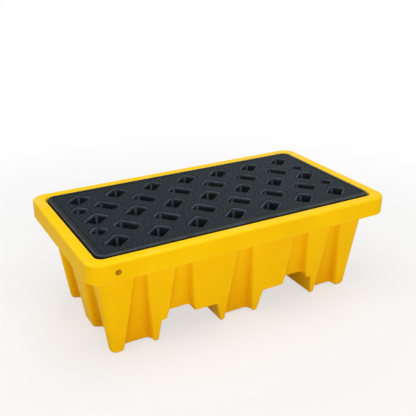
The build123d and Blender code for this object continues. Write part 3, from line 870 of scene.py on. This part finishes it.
def new_group(name, inputs, outputs):
    """An empty node group with sockets: its tree, the sockets given to it and its result node."""
    tree = bpy.data.node_groups.new(name, "ShaderNodeTree")
    for way, sockets in (("INPUT", inputs), ("OUTPUT", outputs)):
        for label, kind in sockets.items():
            tree.interface.new_socket(label, in_out=way, socket_type="NodeSocket" + kind)
    return tree, tree.nodes.new("NodeGroupInput").outputs, tree.nodes.new("NodeGroupOutput")


@cache
def worn_and_highlit_edges_group():
    """Rubbed edges with a painted highlight: the edge mask broken up by noise, mixed towards a paler
    colour for wear and highlight.
    """
    inputs = {"Colour": "Color", "Worn Colour": "Color", "Place": "Vector"}
    inputs |= {"Edge": "Float", "Amount": "Float"}
    tree, given, result = new_group("worn and highlit edges", inputs, {"Colour": "Color", "Mask": "Float"})
    patchy = remap(tree, noise(tree, given["Place"], *WEAR_AND_HIGHLIGHT), *WEAR_AND_HIGHLIGHT_ENDS)
    mask = times(tree, given["Edge"], times(tree, patchy, 1 - WEAR_AND_HIGHLIGHT_LEAST, WEAR_AND_HIGHLIGHT_LEAST))
    mask = maths(tree, "MULTIPLY", mask, given["Amount"], clamp=True)
    colour = mix_colours(tree, mask, given["Colour"], given["Worn Colour"])
    set_inputs(tree, result, {"Colour": colour, "Mask": mask})
    return tree


@cache
def moulded_skin_group():
    """The skin of a rotational moulding: long soft waves with a fine orange peel on them, as a height
    in metres, and a slow change of tone between 0 and 1."""
    inputs, outputs = {"Place": "Vector", "Peel": "Float"}, {"Height": "Float", "Tone": "Float"}
    tree, given, result = new_group("moulded skin", inputs, outputs)
    waves = times(tree, noise(tree, given["Place"], *WAVES), WAVE_HEIGHT)
    height = times(tree, noise(tree, given["Place"], *PEEL), given["Peel"], waves)
    tone = remap(tree, noise(tree, given["Place"], *TONE), *TONE_ENDS)
    set_inputs(tree, result, {"Height": height, "Tone": tone})
    return tree


def place_group(tree, group, **inputs):
    """The outputs of a shared node group, with its inputs by name."""
    return add_node(tree, "Group", {"node_tree": group}, **inputs).outputs


def new_material(name, gloss):
    """A material, its tree, its Principled shader and its object coordinates."""
    material = bpy.data.materials.new(name)
    material.use_nodes = True
    tree = material.node_tree
    shader = set_inputs(tree, tree.nodes["Principled BSDF"], {"Specular_IOR_Level": gloss})
    return material, tree, shader, add_node(tree, "TexCoord").outputs["Object"]


def new_plastic(name, gloss, peel):
    """A plastic's material as above, and the outputs of its moulded skin."""
    material, tree, shader, place = new_material(name, gloss)
    skin = place_group(tree, moulded_skin_group(), Place=place, Peel=peel)
    return material, tree, shader, place, skin


def finish_plastic(tree, shader, skin, colour, rough, strength):
    """Gives a plastic's shader its colour, its roughness and the bump of its skin."""
    bump = add_node(tree, "Bump", Height=skin["Height"], Strength=strength, Distance=1.0)
    set_inputs(tree, shader, {"Base_Color": colour, "Roughness": rough, "Normal": bump.outputs[0]})


def yellow_plastic():
    """Yellow moulded polyethylene, with painted shade in its hollows, low in its flutes and towards the
    feet, and painted light as a paler yellow on faces that look up and in the basin; paler and duller
    on rubbed edges, which also carry a painted highlight, and chalky in patches on the ledge and the
    rim's top."""
    material, tree, shader, place, skin = new_plastic("yellow_polyethylene", gloss=0.03, peel=0.00016)
    # Painted shade: darker towards the feet outside the basin, low in the flutes and in hollows, with
    # less of it in the basin.
    inside = mask_of(tree, "inside")
    height = add_node(tree, "SeparateXYZ", Vector=place).outputs["Z"]
    low = times(tree, remap(tree, height, *FOOT_PAINTED_SHADE), maths(tree, "SUBTRACT", 1.0, inside))
    low = times(tree, mask_of(tree, "flute"), remap(tree, height, *FLUTE_PAINTED_SHADE), low)
    painted_shade = times(tree, inside, HOLLOW_SHADE_EASED_INSIDE, HOLLOW_PAINTED_SHADE)
    painted_shade = maths(tree, "ADD", times(tree, mask_of(tree, "hollow"), painted_shade), low, clamp=True)
    colour = mix_colours(tree, skin["Tone"], *YELLOW_TONES)
    # Painted light: a paler yellow on faces that look up and in the basin; then the painted shade.
    for share, tone in (
        (times(tree, mask_of(tree, "up"), UP_LIGHT_SHARE), YELLOW_UP_PAINTED_LIGHT),
        (times(tree, inside, INSIDE_LIGHT_SHARE), YELLOW_INSIDE_PAINTED_LIGHT),
        (painted_shade, YELLOW_PAINTED_SHADE),
    ):
        colour = mix_colours(tree, share, colour, tone)
    # Rubbed edges, which also carry a painted highlight.
    wear_and_highlight = {"Colour": colour, "Worn_Colour": YELLOW_WORN_AND_HIGHLIGHT, "Edge": mask_of(tree, "edge"), "Amount": 0.55}
    worn_and_highlit = place_group(tree, worn_and_highlit_edges_group(), Place=place, **wear_and_highlight)
    rubbed = times(tree, remap(tree, noise(tree, place, *RUB), *RUB_ENDS), mask_of(tree, "rest"))
    colour = mix_colours(tree, times(tree, rubbed, RUB_AMOUNT), worn_and_highlit["Colour"], YELLOW_CHALKY)
    rough = times(tree, noise(tree, place, *FINE), YELLOW_ROUGH_NOISE, YELLOW_ROUGH)
    rough = times(tree, worn_and_highlit["Mask"], YELLOW_ROUGH_WORN, rough)
    finish_plastic(tree, shader, skin, colour, rough, strength=0.5)
    return material


def black_plastic():
    """Black moulded polyethylene: dull, with painted highlights on the stud crests of the field,
    smoother on the border, lips and pocket walls, paler where it is rubbed, and with painted highlights
    on the lips and in the pockets' corners."""
    material, tree, shader, place, skin = new_plastic("black_polyethylene", gloss=0.06, peel=0.00012)
    smooth, edge = mask_of(tree, "smooth"), mask_of(tree, "edge")
    colour = mix_colours(tree, skin["Tone"], *BLACK_TONES)
    # The smooth plastic's own black, then painted highlights on the stud crests, in the pockets'
    # corners and on the lips.
    for share, tone in (
        (times(tree, smooth, SMOOTH_SHARE), BLACK_SMOOTH),
        (remap(tree, mask_of(tree, "stud"), 0.0, CREST_HIGHLIGHT_FULL), BLACK_CREST_HIGHLIGHT),
        (times(tree, mask_of(tree, "corner"), CORNER_HIGHLIGHT_SHARE), BLACK_CORNER_HIGHLIGHT),
        (times(tree, edge, LIP_HIGHLIGHT_SHARE), BLACK_LIP_HIGHLIGHT),
    ):
        colour = mix_colours(tree, share, colour, tone)
    # Rubbed edges on the lips, which also carry a painted highlight.
    wear_and_highlight = {"Colour": colour, "Worn_Colour": BLACK_WORN_AND_HIGHLIGHT, "Edge": edge, "Amount": 0.75}
    worn_and_highlit = place_group(tree, worn_and_highlit_edges_group(), Place=place, **wear_and_highlight)
    rough = times(tree, smooth, BLACK_ROUGH_SMOOTH, BLACK_ROUGH)
    rough = times(tree, noise(tree, place, *FIELD_FINE), BLACK_ROUGH_NOISE, rough)
    finish_plastic(tree, shader, skin, worn_and_highlit["Colour"], rough, strength=0.9)
    return material


def plug_plastic():
    """The vent plug: darker, a little dirty plastic."""
    material, tree, shader, place, skin = new_plastic("plug_polyethylene", gloss=0.05, peel=0.0001)
    dirt = remap(tree, noise(tree, place, *DIRT), *DIRT_ENDS)
    colour = mix_colours(tree, dirt, *PLUG_TONES)
    rough = times(tree, dirt, PLUG_ROUGH_DIRT, PLUG_ROUGH)
    finish_plastic(tree, shader, skin, colour, rough, strength=0.4)
    return material


# ---- studio


def seen_directly(tree):
    """1 for rays from the camera and for what gloss or glass shows, 0 for all others."""
    rays = add_node(tree, "LightPath").outputs
    seen = maths(tree, "MAXIMUM", rays["Is Camera Ray"], rays["Is Glossy Ray"])
    return maths(tree, "MAXIMUM", seen, rays["Is Transmission Ray"])


def floor_material():
    """A pale floor, with one tone for the light it sends back and one for the eye, that fades into the
    white surround with distance."""
    material, tree, shader, place = new_material("studio_floor", FLOOR_SPECULAR)
    seen = seen_directly(tree)
    tone = mix_colours(tree, seen, FLOOR_LIT, FLOOR_SEEN)
    set_inputs(tree, shader, {"Roughness": FLOOR_ROUGH, "Base_Color": tone})
    glow = add_node(tree, "Emission", Color=WHITE, Strength=1.0)
    distance = add_node(tree, "VectorMath", {"operation": "LENGTH"}, Vector=place)
    white = times(tree, seen, remap(tree, distance.outputs["Value"], *FLOOR_FADE))
    blend = add_node(tree, "MixShader")
    set_inputs(tree, blend, {0: white, 1: shader.outputs[0], 2: glow.outputs[0]})
    tree.links.new(blend.outputs[0], tree.nodes["Material Output"].inputs["Surface"])
    return material


def studio():
    """A pale floor in a white surround, with a soft lamp above, in front, at the left and behind."""
    mesh = bpy.data.meshes.new("floor")
    sides = ((-1, -1), (1, -1), (1, 1), (-1, 1))
    mesh.from_pydata([(x * FLOOR_HALF, y * FLOOR_HALF, FLOOR_Z) for x, y in sides], [], [(0, 1, 2, 3)])
    mesh.materials.append(floor_material())
    floor = new_object("floor", mesh)
    world = bpy.data.worlds.new("surround")
    bpy.context.scene.world = world
    world.use_nodes = True
    tree = world.node_tree
    strength = times(tree, seen_directly(tree), 1 - SURROUND_LIGHT, SURROUND_LIGHT)
    set_inputs(tree, tree.nodes["Background"], {"Color": WHITE, "Strength": strength})
    for name, place, size, power in LAMPS:
        light = bpy.data.lights.new(name, "AREA")
        light.shape, light.size, light.energy = "SQUARE", size, power
        lamp = new_object(name, light)
        lamp.location = place
        lamp.rotation_euler = (Vector(AIM) - Vector(place)).to_track_quat("-Z", "Y").to_euler()


def camera():
    """The photograph's camera, fitted to the rim and feet: place, bearing, tilt and roll."""
    sin, cos = math.sin, math.cos
    ahead = Vector((sin(BEARING) * cos(TILT), cos(BEARING) * cos(TILT), -sin(TILT)))
    right = Vector((cos(BEARING), -sin(BEARING), 0))
    up = right.cross(ahead)
    right, up = right * cos(ROLL) + up * sin(ROLL), up * cos(ROLL) - right * sin(ROLL)
    data = bpy.data.cameras.new("camera")
    data.sensor_width, data.lens = SENSOR, SENSOR * FOCAL_PIXELS / PICTURE_PIXELS
    eye = new_object("camera", data)
    turn = Matrix((right, up, -ahead)).transposed().to_4x4()
    eye.matrix_world = Matrix.Translation(EYE) @ turn
    bpy.context.scene.camera = eye


camera()
studio()
sump_piece(yellow_plastic())
deck_piece(black_plastic())
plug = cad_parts["vent_plug"]
plug.data.materials.clear()
plug.data.materials.append(plug_plastic())
bpy.context.scene.view_settings.view_transform = "Standard"
